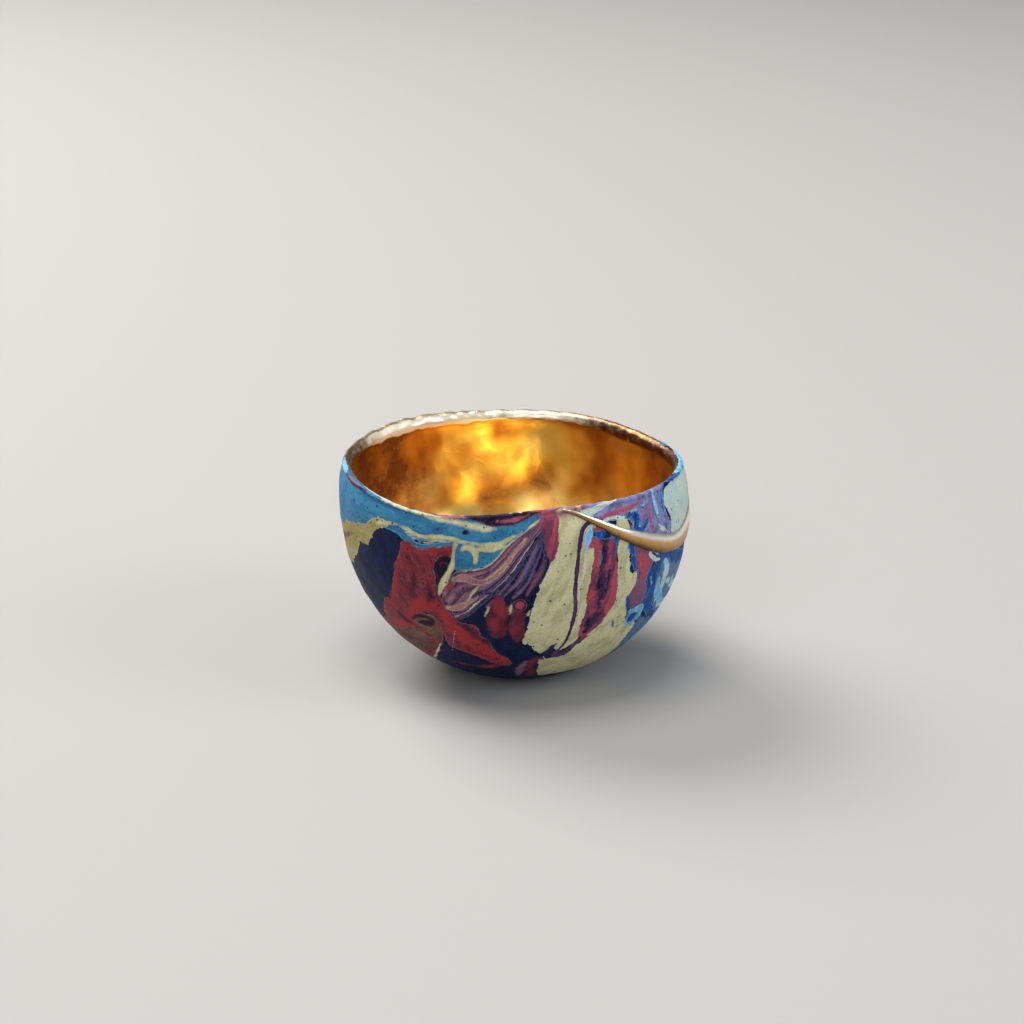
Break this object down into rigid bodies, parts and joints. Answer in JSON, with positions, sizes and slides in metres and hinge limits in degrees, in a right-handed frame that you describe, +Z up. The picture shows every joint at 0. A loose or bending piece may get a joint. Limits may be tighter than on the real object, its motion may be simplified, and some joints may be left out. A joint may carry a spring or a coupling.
{
  "type": "kintsugi sake cup",
  "caption": "Small hand-pinched round bowl for drinking, with a marbled outside, a gilded inside and lip, and a crack filled with a raised gold seam.",
  "frame": {"origin": "middle of the flat foot, on the surface that the cup stands on", "axes": "+Z up through the bowl; -Y is the front, and the gold seam is on the +X side"},
  "size_m": [0.0703, 0.07, 0.0439],
  "materials": {
    "marbled_clay": "matt marbled paint outside, gold leaf inside and on the lip",
    "gold_lacquer": "satin gold lacquer"
  },
  "bodies": {
    "root": {"cup_bowl": "marbled_clay", "kintsugi_seam": "gold_lacquer"}
  },
  "joints": []
}
